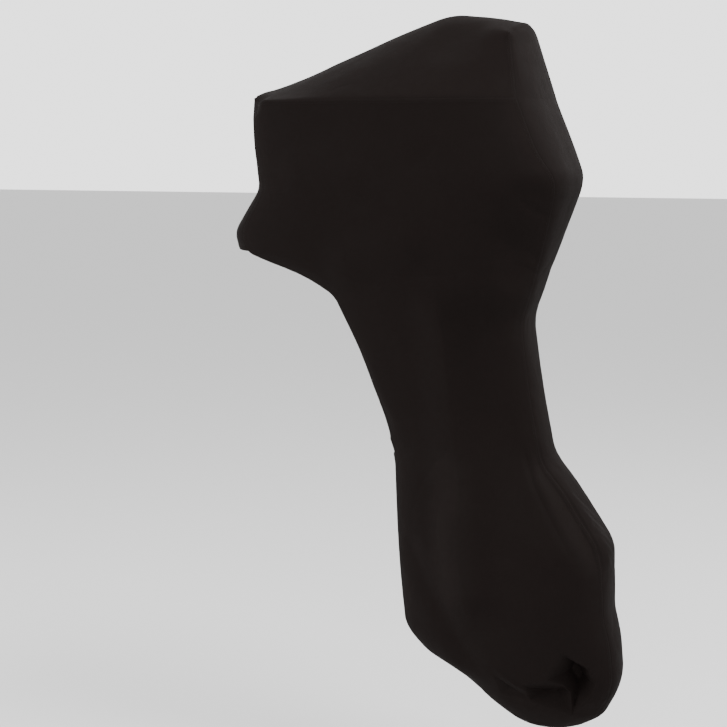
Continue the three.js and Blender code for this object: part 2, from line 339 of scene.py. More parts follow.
GIRTH = (
    Girth(0.000, 0.022, 0.50, 2.2, 2.0, 0.014, 0.013),
    Girth(0.010, 0.040, 0.50, 2.2, 2.0, 0.022, 0.019),
    Girth(0.045, 0.072, 0.55, 2.3, 2.0, 0.036, 0.026),
    Girth(0.120, 0.112, 0.60, 2.4, 2.0, 0.048, 0.032),
    Girth(0.260, 0.146, 0.62, 2.5, 2.0, 0.056, 0.038),
    Girth(0.400, 0.138, 0.58, 2.5, 2.1, 0.057, 0.042),
    Girth(0.560, 0.116, 0.50, 2.7, 2.3, 0.053, 0.050),
    Girth(0.720, 0.108, 0.50, 2.9, 2.5, 0.050, 0.070),
    Girth(0.850, 0.124, 0.50, 2.8, 2.6, 0.050, 0.094),
    Girth(0.960, 0.166, 0.50, 2.7, 3.0, 0.052, 0.138),
    Girth(1.075, 0.200, 0.50, 2.8, 3.4, 0.068, 0.156),
    Girth(1.190, 0.213, 0.50, 3.0, 4.0, 0.104, 0.160),
    Girth(1.250, 0.216, 0.50, 3.2, 4.2, 0.136, 0.162),
    Girth(1.365, 0.214, 0.50, 3.2, 4.4, 0.138, 0.164),
)

CROWN_ROWS = (
    CrownRow(-0.020, 1.390, 0.150, 1.370, 0.000),
    CrownRow(0.150, 1.465, 0.176, 1.388, 0.050),
    CrownRow(0.300, 1.522, 0.122, 1.452, 0.050),
    CrownRow(0.372, 1.547, 0.100, 1.488, 0.030),
    CrownRow(0.470, 1.536, 0.098, 1.506, 0.030),
    CrownRow(0.560, 1.517, 0.096, 1.497, 0.000),
)

LEG_RIDGE = ((0.398, 1.000), (0.409, 0.860), (0.420, 0.700), (0.446, 0.560), (0.452, 0.420), (0.470, 0.300),
             (0.485, 0.225))
MOUTH_EDGE = ((0.108, 0.945), (0.140, 0.870), (0.195, 0.735), (0.252, 0.625))
DRAG_TOPS = (0.560, 0.530, 0.500, 0.470, 0.440)

FOLDS = (
    # slack across the head's sides
    Fold(PORT, ((0.395, 1.240), (0.560, 1.060)), -0.006, 0.062, sharp=0.3),
    Fold(STARBOARD, ((0.430, 1.250), (0.560, 1.090)), -0.008, 0.066, sharp=0.3),
    # soft swells on the head and over the chin
    Fold(PORT, ((0.110, 1.212), (0.220, 1.206)), 0.007, 0.070),
    Fold(PORT, ((0.210, 1.030), (0.335, 1.062)), 0.009, 0.072),
    Fold(STARBOARD, ((0.180, 1.080), (0.330, 1.030)), 0.008, 0.072),
    # long hollows down the leg, and the soft ridge beside one of them that goes on over the boot
    Fold(PORT, ((0.455, 0.900), (0.545, 0.420)), -0.007, 0.066),
    Fold(STARBOARD, ((0.440, 0.880), (0.520, 0.470)), -0.011, 0.068),
    crease(PORT, LEG_RIDGE, 0.016, 0.088, sharp=0.35, heaped=0.0),
    # swells at the top of the boot, and the creases that run from them along its nose
    Fold(PORT, ((0.432, 0.480), (0.466, 0.320)), 0.013, 0.084),
    Fold(STARBOARD, ((0.380, 0.480), (0.450, 0.300)), 0.010, 0.070),
    Fold(PORT, ((0.322, 0.380), (0.462, 0.165)), -0.008, 0.054, sharp=0.25),
    Fold(STARBOARD, ((0.330, 0.340), (0.470, 0.170)), -0.010, 0.054, sharp=0.5),
    # the dip and the short wrinkles below the head's rear corner, and the dent beside the ridge
    Fold(PORT, ((0.600, 1.160), (0.560, 1.010)), -0.008, 0.056),
    crease(PORT, ((0.579, 1.159), (0.612, 1.130), (0.643, 1.113)), -0.0018, 0.013),
    crease(PORT, ((0.585, 1.055), (0.598, 1.026), (0.607, 1.001)), -0.0018, 0.014),
    Fold(TOP, ((0.400, -0.104), (0.450, -0.100)), -0.010, 0.060),
    # the long crease beside the gusset, and the turn of the cloth from there to the gusset
    crease(PORT, ((0.568, 0.640), (0.600, 0.560), (0.640, 0.490), (0.690, 0.410)), -0.0032, 0.012),
    Fold(PORT, ((0.650, 0.600), (0.752, 0.430)), -0.015, 0.078),
    # the drag across the flare and the slanting lines in it
    Fold(AFT, ((-0.040, 0.590), (0.020, 0.470)), -0.002, 0.040),
    *(
        crease(AFT, ((-0.048, top), (-0.006, top - 0.050), (0.030, top - 0.080)), -0.0009, 0.011)
        for top in DRAG_TOPS
    ),
    # the hollows at the bottom of the boot, and the tongue of cloth beside the tuck
    Fold(PORT, ((0.620, 0.100), (0.560, 0.085)), -0.005, 0.042, sharp=0.4),
    Fold(STARBOARD, ((0.660, 0.180), (0.600, 0.100)), -0.014, 0.046, sharp=0.4),
    crease(PORT, ((0.520, 0.156), (0.560, 0.128), (0.606, 0.094)), 0.0030, 0.014, heaped=0.0),
    # the turn of the cloth along the open mouth
    *(crease(face, MOUTH_EDGE, -0.014, 0.058, sharp=0.0, heaped=0.1) for face, _ in SIDES),
)

TUCKS = (
    # the hollow below the tongue
    Tuck(PORT, ((0.518, 0.142), (0.530, 0.084), (0.600, 0.080)), (0.035, 0.030, 0.010), 0.014),
    # the chevron tuck itself
    Tuck(
        PORT,
        ((0.677, 0.204), (0.640, 0.142), (0.686, 0.056), (0.727, 0.104), (0.738, 0.135), (0.727, 0.170)),
        (0.046, 0.050, 0.016, 0.010, 0.010, 0.010),
        0.054,
    ),
    # the step from it to the tongue
    Tuck(
        PORT,
        ((0.668, 0.150), (0.588, 0.122), (0.596, 0.080), (0.690, 0.058), (0.720, 0.105)),
        (0.055, 0.022, 0.026, 0.040, 0.040),
        0.036,
    ),
)

# painted highlights: patches of cloth drawn paler where light falls on the front of the leg, the nose of the
# boot and the flare; the depth of each is how much paler it is
PAINTED_HIGHLIGHTS = (
    Fold(PORT, ((0.370, 0.900), (0.395, 0.600)), 0.35, 0.075),
    Fold(PORT, ((0.412, 0.560), (0.440, 0.340)), 0.95, 0.080),
    Fold(PORT, ((0.630, 0.580), (0.730, 0.420)), 0.90, 0.062),
    Fold(STARBOARD, ((0.400, 0.540), (0.440, 0.360)), 0.50, 0.080),
)


@dataclass(frozen=True)
class Form:
    """The cover's outer form.

    Attributes:
        front: its front outline.
        aft: its aft outline.
        girth: its level sections.
        crown: its top, from front to back.
        shoulder: the height of the seam between the side panels and the crown.
        mouth_bottom: where the open mouth in front ends.
        chin: the height of the front panel's hem.
        seat_x: where the crown rests on what it covers.
        thickness: of the cloth.
        packed_thickness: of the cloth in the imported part, whose inner face holds the seat.
        crown_lean: how far the crown's rear corners lie aft of the shoulder below them.
        crown_aft_bow: how far the middle of the crown's rear edge stands out.
        ridge_rounding: 1 would pitch the top in two flats, 2 would round it like a barrel.
        widest_hips: share of the shoulder's width that the hips stay within.
    """

    front: tuple[Corner, ...] = FRONT_OUTLINE
    aft: tuple[Corner, ...] = AFT_OUTLINE
    girth: tuple[Girth, ...] = GIRTH
    crown: tuple[CrownRow, ...] = CROWN_ROWS
    shoulder: float = 1.365
    mouth_bottom: float = 0.590
    chin: float = 1.040
    seat_x: float = 0.372
    thickness: float = 0.0018
    packed_thickness: float = 0.002
    crown_lean: float = -0.028
    crown_aft_bow: float = 0.012
    ridge_rounding: float = 1.5
    widest_hips: float = 0.94

    def outline(self, half: Half, height: Array | float) -> Array:
        """Where the front or the back lies at some heights."""
        return along(self.aft if half is Half.AFT else self.front, "x", height)

    def section_x(self, height: Array | float, y: Array | float, half: Half) -> Array:
        """Where one half of the level section lies.

        Args:
            height: of the section.
            y: distance from the middle plane.
            half: the front or the aft half.

        Returns:
            Its places fore and aft.
        """
        front, aft = self.outline(Half.FRONT, height), self.outline(Half.AFT, height)
        middle = front + (aft - front) * along(self.girth, "widest", height)
        boxy = along(self.girth, f"{half.name.lower()}_boxy", height)
        share = np.clip(np.abs(y) / along(self.girth, "half_width", height), 0.0, 1.0)
        return middle + ((aft if half is Half.AFT else front) - middle) * (1 - share**boxy) ** (1 / boxy)

    def side_line(self, height: float, places: Callable[[float], Array]) -> Array:
        """The side of a section, from the gusset's seam round to its front edge.

        Args:
            height: of the section.
            places: gives the distances wanted along a side of a given length.

        Returns:
            Points in rows of x, y and height, with y on the starboard side.
        """
        widest = float(along(self.girth, "half_width", height))
        line = []
        for half in (Half.AFT, Half.FRONT):
            start = math.asin(min(1.0, float(along(self.girth, half.value, height)) / widest))
            y = widest * np.sin(np.linspace(start, math.pi / 2, SECTION_SAMPLES))
            part = np.stack([self.section_x(height, y, half), y, np.full_like(y, height)], axis=1)
            line.append(part if half is Half.AFT else part[-2::-1])
        points = np.concatenate(line)
        travelled = travelled_along(points)
        return picked(places(travelled[-1]), travelled, points)

    def across(self, height: float, share: Array, half: Half) -> Array:
        """Points across one half of the section at a height, from its port edge (-1) to the other (1)."""
        y = share * along(self.girth, half.value, height)
        return np.stack([self.section_x(height, y, half), y, np.full_like(y, height)], axis=1)

    def placed(self, points: Array) -> Array:
        """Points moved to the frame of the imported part."""
        ridge = float(along(self.crown, "ridge", self.seat_x))
        return points - np.array([self.seat_x, 0.0, ridge - self.packed_thickness])


@dataclass(frozen=True)
class Finish:
    """How an edge is sewn.

    Attributes:
        band: how wide the turned-in cloth under the edge is.
        rise: how far that lifts the face.
        roll: how far the edge itself turns in.
        rows: distances of the rows of stitches from the edge.
        pucker: how far the stitches draw the cloth in and out.
    """

    band: float
    rise: float
    roll: float
    rows: tuple[float, ...]
    pucker: float

    def drop(self, away: Array) -> Array:
        """How far the cloth sinks at some distances from the edge: its roll and its needle rows.

        Args:
            away: the distances.

        Returns:
            One depth for each.
        """
        drop = self.roll * np.clip(1 - away / EDGE_ROLL, 0, 1) ** 2
        dimples = [np.exp(-(((away - row) / STITCH_DIMPLE_WIDTH) ** 2)) for row in self.rows]
        return drop + STITCH_DIMPLE * sum(dimples)

    def swell(self, away: Array) -> Array:
        """How far the turned-in cloth lifts the face at some distances from the edge."""
        return self.rise * smooth((self.band + BAND_SLOPE - away) / (2 * BAND_SLOPE))


KEEL_TIGHT = 0.024
SEAM_TURN = 0.006
PUCKER = 0.0125
PUCKER_STARTS = 0.004
EDGE_ROLL = 0.0028
BAND_SLOPE = 0.0016
STITCH_DIMPLE = 0.00022
STITCH_DIMPLE_WIDTH = 0.0009
SHOULDER_TO_HIP = 0.15
HIP_ROUNDING = 0.030
HIP_ROUNDING_FADE = 10
FRONT_BOW_FADE = 12
KEEL_BOW_FADE = 6
AFT_BOW_FADE = 4
SHARPEST_MITRE = 0.5
SHARP_FOLD = math.radians(50)
SEAM_DECIMALS = 6
NEAR_EDGE = (0.0, 0.0010, 0.0022, 0.0032, 0.0045, 0.0070, 0.0088, 0.0105, 0.0130, 0.0165)
TOP_STITCHED = Finish(band=0.0110, rise=0.0004, roll=0.0005, rows=(0.0032, 0.0088), pucker=0.0005)
SEWN_UNDER = Finish(band=0.0, rise=0.0, roll=0.0006, rows=(), pucker=0.0004)
HEM = Finish(band=0.0165, rise=0.0006, roll=0.0005, rows=(0.0130,), pucker=0.0006)


@dataclass(frozen=True)
class Ripple:
    """Smooth noise between about -1 and 1, by the distance between its swells along each axis."""

    size: tuple[float, float, float]
    seed: float

    def at(self, points: Array) -> Array:
        """Its value at each point.

        Args:
            points: places on the cloth.

        Returns:
            One value for each point.
        """
        scaled = points.reshape(-1, 3) / np.array(self.size) + self.seed
        values = [noise.noise(Vector(place)) for place in scaled.tolist()]
        return np.array(values).reshape(points.shape[:-1])


PUCKERS = Ripple((PUCKER, PUCKER, PUCKER), 47.0)


@dataclass(frozen=True)
class Slack:
    """The small unevenness of cloth that hangs a little loose.

    Attributes:
        swell: height of its widest swells on the leg and the boot.
        taut_swell: the same on the head, where the cloth is pulled tight.
        taut_above: the height from which it is tight.
        taut_fade: how far above and below that the change goes.
        small_share: height of its smaller swells, as a share of the widest.
        crease: depth of its scattered short creases.
        crease_bend: how far those wander off their course.
        crease_thin: how thin they are.
        crease_spread: how sharply the creased areas end.
        crease_cover: above zero, more of the cloth is creased.
        grain: height of its smallest ripples.
        wide: the noise of its widest swells.
        small: of its smaller ones.
        bends: of the creases' wandering.
        creases: of the creases themselves.
        areas: of where they are.
        ripples: of the smallest ripples.
    """

    swell: float = 0.0026
    taut_swell: float = 0.0012
    taut_above: float = 1.02
    taut_fade: float = 0.12
    small_share: float = 0.4
    crease: float = 0.0013
    crease_bend: float = 0.018
    crease_thin: int = 9
    crease_spread: float = 2.2
    crease_cover: float = 0.1
    grain: float = 0.00018
    wide: Ripple = Ripple((0.11, 0.11, 0.34), 3.1)
    small: Ripple = Ripple((0.06, 0.06, 0.12), 8.7)
    bends: Ripple = Ripple((0.09, 0.09, 0.09), 21.4)
    creases: Ripple = Ripple((0.085, 0.085, 0.130), 14.2)
    areas: Ripple = Ripple((0.19, 0.19, 0.24), 5.5)
    ripples: Ripple = Ripple((0.021, 0.021, 0.030), 33.0)

    def lift(self, points: Array) -> Array:
        """How far the slack moves each point outwards.

        Args:
            points: places on the cloth.

        Returns:
            One distance for each point.
        """
        tight = smooth((points[..., 2] - self.taut_above + self.taut_fade) / (2 * self.taut_fade))
        swells = self.swell + (self.taut_swell - self.swell) * tight
        swells = swells * (self.wide.at(points) + self.small_share * self.small.at(points))
        bent = points + self.crease_bend * self.bends.at(points)[..., None]
        creased = smooth(self.areas.at(points) * self.crease_spread + self.crease_cover)
        creased = creased * (1 - np.abs(self.creases.at(bent))) ** self.crease_thin
        return swells - self.crease * creased + self.grain * self.ripples.at(points)


class Edge(Enum):
    """The four edges of a sheet: its axis, and whether it is the last line along that axis."""

    FIRST_ROW = (0, False)
    LAST_ROW = (0, True)
    FIRST_COLUMN = (1, False)
    LAST_COLUMN = (1, True)

    def away(self, sheet: "Sheet") -> Array:
        """Distance of each point of a sheet from this edge, measured in the cloth.

        Args:
            sheet: the piece.

        Returns:
            Rows by columns of distances.
        """
        axis, last = self.value
        travelled = sheet.square_lengths(axis)
        return np.take(travelled, [-1], axis=axis) - travelled if last else travelled

    def lines(self, values: Array) -> Array:
        """A sheet's values turned so that the first index leads away from this edge."""
        turned = np.swapaxes(values, 0, self.value[0])
        return turned[::-1] if self.value[1] else turned

    def inland(self, sheet: "Sheet", values: Array, distance: float) -> Array:
        """A sheet's vectors read off at one distance from this edge, all along it."""
        away, lines = self.lines(self.away(sheet)), self.lines(values)
        return np.stack([picked(distance, away[:, k], lines[:, k]) for k in range(lines.shape[1])])


@dataclass(frozen=True)
class Edging:
    """A stretch of one edge and the way that it is sewn; span holds its first and last index."""

    edge: Edge
    finish: Finish
    span: tuple[int, int] | None = None

    def covers(self, count: int) -> Array:
        """Which of the lines along the edge this stretch holds.

        Args:
            count: how many lines there are.

        Returns:
            Whether it holds each of them.
        """
        first, last = self.span or (0, count - 1)
        index = np.arange(count)
        return (index >= first) & (index <= last)


def new_piece(name: str, points: Array, faces: list[list[int]]) -> bpy.types.Object:
    """A new object at the origin with a mesh of these points and faces.

    Args:
        name: of the object and of its mesh.
        points: their places.
        faces: the points round each face.

    Returns:
        The object.
    """
    mesh = bpy.data.meshes.new(name)
    mesh.from_pydata(points.reshape(-1, 3).tolist(), [], faces)
    piece = bpy.data.objects.new(name, mesh)
    bpy.context.collection.objects.link(piece)
    return piece


@dataclass
class Sheet:
    """One piece of the cover, as rows and columns of points on its outer face.

    Attributes:
        name: of the piece.
        node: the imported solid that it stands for.
        points: rows by columns of places.
        outward: 1 or -1, the way that columns cross rows gives.
        edgings: how its edges are sewn.
        leaning: the piece's own outward directions, as long as the area round each point.
        normals: the same at length one.
        shared: the directions shared with the pieces sewn to it.
    """

    name: str
    node: str
    points: Array
    outward: int
    edgings: Sequence[Edging]
    leaning: Array = field(init=False)
    normals: Array = field(init=False)
    shared: Array = field(init=False)

    def faces(self) -> Array:
        """A vector square to each face of the piece, twice as long as the face's area."""
        points = self.points
        return np.cross(points[1:, 1:] - points[:-1, :-1], points[1:, :-1] - points[:-1, 1:])

    def find_normals(self) -> None:
        """Sets the piece's own outward normals from the faces round each point."""
        faces, points = self.faces(), self.points
        self.leaning = np.zeros_like(points)
        for rows in (slice(1, None), slice(None, -1)):
            for columns in (slice(1, None), slice(None, -1)):
                self.leaning[rows, columns] += faces * self.outward
        self.normals = unit(self.leaning)

    def lengths(self, axis: int) -> Array:
        """Distance travelled along each column (axis 0) or row (axis 1), from its first point."""
        return added_up(np.diff(self.points, axis=axis), axis)

    def square_lengths(self, axis: int) -> Array:
        """The same, but with every step measured square to the lines that it crosses.

        Args:
            axis: 0 along columns, 1 along rows.

        Returns:
            Rows by columns of distances.
        """
        lines = np.swapaxes(unit(np.gradient(self.points, axis=1 - axis)), 0, axis)
        lines = np.swapaxes(unit(lines[1:] + lines[:-1]), 0, axis)
        return added_up(np.cross(np.diff(self.points, axis=axis), lines), axis)

    def spread_inland(self, values: Array, reach: float) -> Array:
        """Carries the vectors on the piece's edges inland, fading to nothing.

        Args:
            values: vectors for all points, of which those on the edges are used.
            reach: how far inland they are felt.

        Returns:
            One vector for each point.
        """
        total = np.zeros_like(values)
        weights = np.zeros(values.shape[:2])
        for edge in Edge:
            fade = np.clip(1 - edge.away(self) / reach, 0, 1) ** 2
            edge.lines(total)[...] += edge.lines(fade)[..., None] * edge.lines(values)[0]
            weights += fade
        return total / np.maximum(weights, 1)[..., None]

    def edge_pulls(self, reach: float) -> Array:
        """How far each point of the piece's edges moves to round the seam over.

        Args:
            reach: how far from a seam the rounding begins.

        Returns:
            The moves, which are zero inside the piece.
        """
        pulls = np.zeros_like(self.points)
        counts = np.zeros(self.points.shape[:2])
        for edge in Edge:
            shared = edge.lines(self.shared)[0]
            inland = edge.inland(self, self.points, reach) - edge.lines(self.points)[0]
            travelled = edge.lines(self.lengths(1 - edge.value[0]))[0]
            from_corner = np.minimum(np.abs(travelled - travelled[0]), np.abs(travelled - travelled[-1]))
            pull = 0.5 * reach * np.sum(unit(inland) * shared, axis=-1) * smooth(from_corner / reach)
            edge.lines(pulls)[0] += pull[:, None] * shared
            edge.lines(counts)[0] += 1
        return pulls / np.maximum(counts, 1)[..., None]

    def move(self, lift: Array) -> None:
        """Moves each point outwards by its lift, less and less towards the keel, where the seams crowd."""
        lift = lift * smooth(self.points[..., 2] / KEEL_TIGHT)
        self.points = self.points + lift[..., None] * self.shared

    def drape(self, folds: Sequence[Fold], tucks: Sequence[Tuck], slack: Slack) -> None:
        """Lays the folds, the slack and the tucks into the cloth; the deepest tuck counts."""
        lift = slack.lift(self.points) + sum(fold.lift(self.points, self.shared) for fold in folds)
        self.move(lift + np.min([tuck.lift(self.points, self.shared) for tuck in tucks], axis=0))

    def sew(self) -> None:
        """Shapes the cloth along its sewn edges: rolled edge, band, needle rows and puckers."""
        drop, swell, drawn = np.zeros((3, *self.points.shape[:2]))
        for edging in self.edgings:
            finish, away = edging.finish, edging.edge.away(self)
            mask = np.zeros_like(away)
            lines = edging.edge.lines(mask)
            lines[...] = edging.covers(lines.shape[1])
            drop = np.maximum(drop, mask * finish.drop(away))
            swell = np.maximum(swell, mask * finish.swell(away))
            near = np.exp(-away / PUCKER) * smooth(away / PUCKER_STARTS)
            drawn = np.maximum(drawn, mask * finish.pucker * near)
        self.move(swell - drop + drawn * PUCKERS.at(self.points))

    def flat_size(self) -> tuple[float, float, float]:
        """Width, length and area of the cloth laid flat."""
        area = float(0.5 * np.linalg.norm(self.faces(), axis=-1).sum())
        return float(self.lengths(1)[:, -1].max()), float(self.lengths(0)[-1].max()), area

    def build(self, form: Form) -> bpy.types.Object:
        """Makes the closed sheet: outer face, inner face and the rim between them.

        Args:
            form: the cover that it belongs to.

        Returns:
            The piece, at the origin, with its weave laid out in a UV map in metres.
        """
        mitre = np.clip(np.sum(self.shared * self.normals, axis=-1, keepdims=True), SHARPEST_MITRE, 1.0)
        inner = self.points - self.shared * form.thickness / mitre
        index = np.arange(mitre.size).reshape(mitre.shape[:2])
        corners = (index[:-1, :-1], index[:-1, 1:], index[1:, 1:], index[1:, :-1])
        quads = np.stack(corners, axis=-1).reshape(-1, 4)
        rim = np.concatenate([index[0, :], index[1:, -1], index[-1, -2::-1], index[-2::-1, 0]])
        ends = np.stack([rim[1:], rim[:-1], rim[:-1] + index.size, rim[1:] + index.size], axis=-1)
        loops = np.concatenate([quads, quads[:, ::-1] + index.size, ends])[:, :: self.outward]
        piece = new_piece(self.name, form.placed(np.stack([self.points, inner])), loops.tolist())
        self.lay_weave(piece.data)
        bpy.ops.object.select_all(action="DESELECT")
        piece.select_set(True)
        bpy.context.view_layer.objects.active = piece
        bpy.ops.object.shade_smooth_by_angle(angle=SHARP_FOLD)
        return piece

    def lay_weave(self, mesh: bpy.types.Mesh) -> None:
        """Gives the mesh its weave in metres, how far it is from a sewn edge, and how much highlight is
        painted on it.

        Args:
            mesh: of the piece, with the points of the outer face before those of the inner one.
        """
        u, v = self.lengths(1), self.lengths(0)
        middle = u.shape[1] // 2
        u = u - u[:, middle : middle + 1]
        v = np.repeat(v[:, middle : middle + 1], u.shape[1], axis=1)
        flat = np.stack([u, v], axis=-1).reshape(-1, 2)
        corner = np.zeros(len(mesh.loops), np.int32)
        mesh.loops.foreach_get("vertex_index", corner)
        layer = mesh.uv_layers.new(name="weave")
        layer.uv.foreach_set("vector", flat[corner % len(flat)].astype(np.float32).reshape(-1))
        from_edge = np.min([edging.edge.away(self) for edging in self.edgings], axis=0)
        # painted highlights: how much paler each point is drawn where light falls on it
        faded = sum(patch.lift(self.points, self.shared) for patch in PAINTED_HIGHLIGHTS)
        for name, values in (("from_edge", from_edge), ("faded", faded)):
            attribute = mesh.attributes.new(name, "FLOAT", "POINT")
            attribute.data.foreach_set("value", np.tile(values.reshape(-1), 2).astype(np.float32))

    def stitch_lines(self) -> list[tuple[Array, Array]]:
        """Finds the rows of stitches along the edges of the piece.

        Returns:
            For each row, the points that it follows and the outward directions there.
        """
        found = []
        for edging in self.edgings:
            edge = edging.edge
            kept = edging.covers(edge.lines(self.points).shape[1])
            for distance in edging.finish.rows:
                line = edge.inland(self, self.points, distance)[kept]
                found.append((line, unit(edge.inland(self, self.normals, distance)[kept])))
        return found


class Seams:
    """The points where pieces meet, found once while they still lie exactly together."""

    def __init__(self, sheets: Sequence[Sheet]) -> None:
        """Finds the points that meet.

        Args:
            sheets: the pieces as they are cut.
        """
        self.sheets = sheets
        keys = np.concatenate([sheet.points.reshape(-1, 3) for sheet in sheets])
        _, index = np.unique(np.round(keys, SEAM_DECIMALS), axis=0, return_inverse=True)
        self.index = index.reshape(-1)

    def pooled(self, values: Sequence[Array]) -> list[Array]:
        """The same vectors, with points that meet given the mean of theirs.

        Args:
            values: for each piece, a vector at each of its points.

        Returns:
            The vectors in the same order.
        """
        flat = [value.reshape(-1, 3) for value in values]
        total = np.zeros((self.index.max() + 1, 3))
        np.add.at(total, self.index, np.concatenate(flat))
        mean = (total / np.bincount(self.index)[:, None])[self.index]
        parts = np.split(mean, np.cumsum([len(part) for part in flat])[:-1])
        return [part.reshape(value.shape) for part, value in zip(parts, values)]

    def share_normals(self) -> None:
        """Works out every normal again, one wherever pieces meet, and turns those near a seam towards it."""
        for sheet in self.sheets:
            sheet.find_normals()
        for sheet, leaning in zip(self.sheets, self.pooled([sheet.leaning for sheet in self.sheets])):
            met = unit(leaning)
            sheet.shared = unit(sheet.normals + sheet.spread_inland(met - sheet.normals, SEAM_TURN))
            for edge in Edge:
                edge.lines(sheet.shared)[0] = edge.lines(met)[0]

    def close(self) -> None:
        """Brings points that meet together again, and shares their normals."""
        for sheet, points in zip(self.sheets, self.pooled([sheet.points for sheet in self.sheets])):
            sheet.points = points
        self.share_normals()

    def round_over(self, reach: float) -> None:
        """Rounds the cloth over towards every seam, beginning at some reach from it.

        Args:
            reach: how far from a seam the rounding begins.
        """
        self.share_normals()
        pulls = self.pooled([sheet.edge_pulls(reach) for sheet in self.sheets])
        for sheet, pull in zip(self.sheets, pulls):
            sheet.points = sheet.points + sheet.spread_inland(pull, reach)
        self.close()

    def dull(self, corner: Array, inward: Sequence[float], reach: float) -> None:
        """Presses a corner of the cover in, with the cloth round it.

        Args:
            corner: where it is.
            inward: how far it moves along each axis.
            reach: how far round it the cloth moves.
        """
        for sheet in self.sheets:
            away = np.linalg.norm(sheet.points - corner, axis=-1)
            sheet.points = sheet.points + smooth(1 - away / reach)[..., None] * np.array(inward)


@dataclass
class Pattern:
    """Cuts the six pieces of the cover from its form.

    Attributes:
        form: the cover's outer form.
        side_steps: steps round a side panel, between its sewn edges.
        closer_aft: how much shorter they are at the back than on average.
        across_steps: even steps across the gussets and the middle of the crown and the front.
        climb_steps: steps from the shoulder up to the hip.
        row_step: how far apart the rows of points are along the steepest outline.
        finer: how much denser they are at the tuck in the bottom.
        finer_middle: the height of that tuck.
        finer_reach: how far above and below it the rows are denser.
        levels: heights of the rows of points.
        side: points round the starboard side at each of them.
        shares: places across a gusset, from -1 to 1.
        climb: shares of the way from the shoulder (0) up to the hip (1).
        crown_shares: the same across the crown: -2 and 2 are the shoulders, -1 and 1 the hips.
        crown: points of the crown, in rows from front to back and columns from port to starboard.
    """

    form: Form
    side_steps: int = 94
    closer_aft: float = 0.35
    across_steps: int = 22
    climb_steps: int = 22
    row_step: float = 0.0065
    finer: float = 1.0
    finer_middle: float = 0.12
    finer_reach: float = 0.11
    levels: Array = field(init=False)
    side: Array = field(init=False)
    shares: Array = field(init=False)
    climb: Array = field(init=False)
    crown_shares: Array = field(init=False)
    crown: Array = field(init=False)

    def __post_init__(self) -> None:
        """Works out the lines of points that several pieces share."""
        self.levels = self.find_levels()
        self.side = np.array([self.form.side_line(height, self.round_the_side) for height in self.levels])
        width = 2 * float(along(self.form.girth, "gusset", self.form.shoulder))
        self.shares = 2 * edge_steps(width, self.across_steps) / width - 1
        self.climb = edge_steps(SHOULDER_TO_HIP, self.climb_steps) / SHOULDER_TO_HIP
        outer = self.climb[:-1] - 2
        self.crown_shares = np.concatenate([outer, self.shares, -outer[::-1]])
        self.crown = self.crown_points()

    def round_the_side(self, length: float) -> Array:
        """Distances of the points round a side of a given length, closer together near the back.

        Args:
            length: of the way from the gusset round to the front edge.

        Returns:
            The distances.
        """
        places = edge_steps(length, self.side_steps)
        start, end = places[len(NEAR_EDGE) - 1], places[-len(NEAR_EDGE)]
        share = np.clip((places - start) / (end - start), 0, 1)
        return places - (end - start) * self.closer_aft * np.sin(math.pi * share) / math.pi

    def find_levels(self) -> Array:
        """Heights of the rows of points: even along the steepest outline, and dense near the hems.

        Returns:
            The heights, from the keel up to the shoulder.
        """
        form = self.form
        fine = np.arange(0, form.shoulder, HEIGHT_SAMPLE)
        outlines = [*(form.outline(half, fine) for half in Half), along(form.girth, "half_width", fine)]
        steepest = np.sqrt(1 + np.max(np.square([np.gradient(line, fine) for line in outlines]), axis=0))
        steepest *= 1 + self.finer * smooth(1 - np.abs(fine - self.finer_middle) / self.finer_reach)
        travelled = np.cumsum(steepest) * HEIGHT_SAMPLE
        levels = []
        marks = (0.0, form.mouth_bottom, form.chin, form.shoulder)
        for low, high in zip(marks[:-1], marks[1:]):
            start, end = np.interp([low, high], fine, travelled)
            even = edge_steps(end - start, math.ceil((end - start) / self.row_step))
            heights = np.interp(start + even, travelled, fine)
            heights[[0, -1]] = (low, high)
            levels.append(heights if low == 0 else heights[1:])
        return np.concatenate(levels)

    def row_of(self, height: float) -> int:
        """The row of points at one of the marked heights."""
        return int(np.argmin(np.abs(self.levels - height)))

    def crown_points(self) -> Array:
        """Lays out the crown over the shoulders of the two sides.

        Returns:
            Its points, in rows from front to back and columns from port to starboard.
        """
        form, shares = self.form, self.crown_shares
        shoulder = self.side[-1][::-1]
        travelled = travelled_along(shoulder)
        steep = np.abs(shares) > 1
        climb, across = np.clip(2 - np.abs(shares), 0, 1), np.clip(shares, -1, 1)
        rows = []
        for seam, back in zip(shoulder, travelled / travelled[-1]):
            hip_x = seam[0] + form.crown_lean * back**2
            columns = ("ridge", "hip_half", "hip_height")
            ridge, hip_half, hip_height = (float(along(form.crown, column, hip_x)) for column in columns)
            hip_half = min(hip_half, seam[1] * form.widest_hips)
            reach = seam[1] + (hip_half - seam[1]) * climb
            y = np.where(steep, np.sign(shares) * reach, across * hip_half)
            top = ridge - (ridge - hip_height) * np.abs(across) ** form.ridge_rounding
            height = np.where(steep, form.shoulder + (hip_height - form.shoulder) * climb, top)
            front_y = y * shoulder[0][1] / seam[1]
            front_bow = form.section_x(form.shoulder, front_y, Half.FRONT) - shoulder[0][0]
            front_bow = front_bow * (1 - back) ** FRONT_BOW_FADE
            aft_bow = form.crown_aft_bow * (1 - across**2) * back**AFT_BOW_FADE
            x = seam[0] + (hip_x - seam[0]) * climb + front_bow + aft_bow
            line = np.stack([x, y, height], axis=1)
            rows.append(self.rounded_hips(line, HIP_ROUNDING * (1 - back**HIP_ROUNDING_FADE)))
        return np.array(rows)

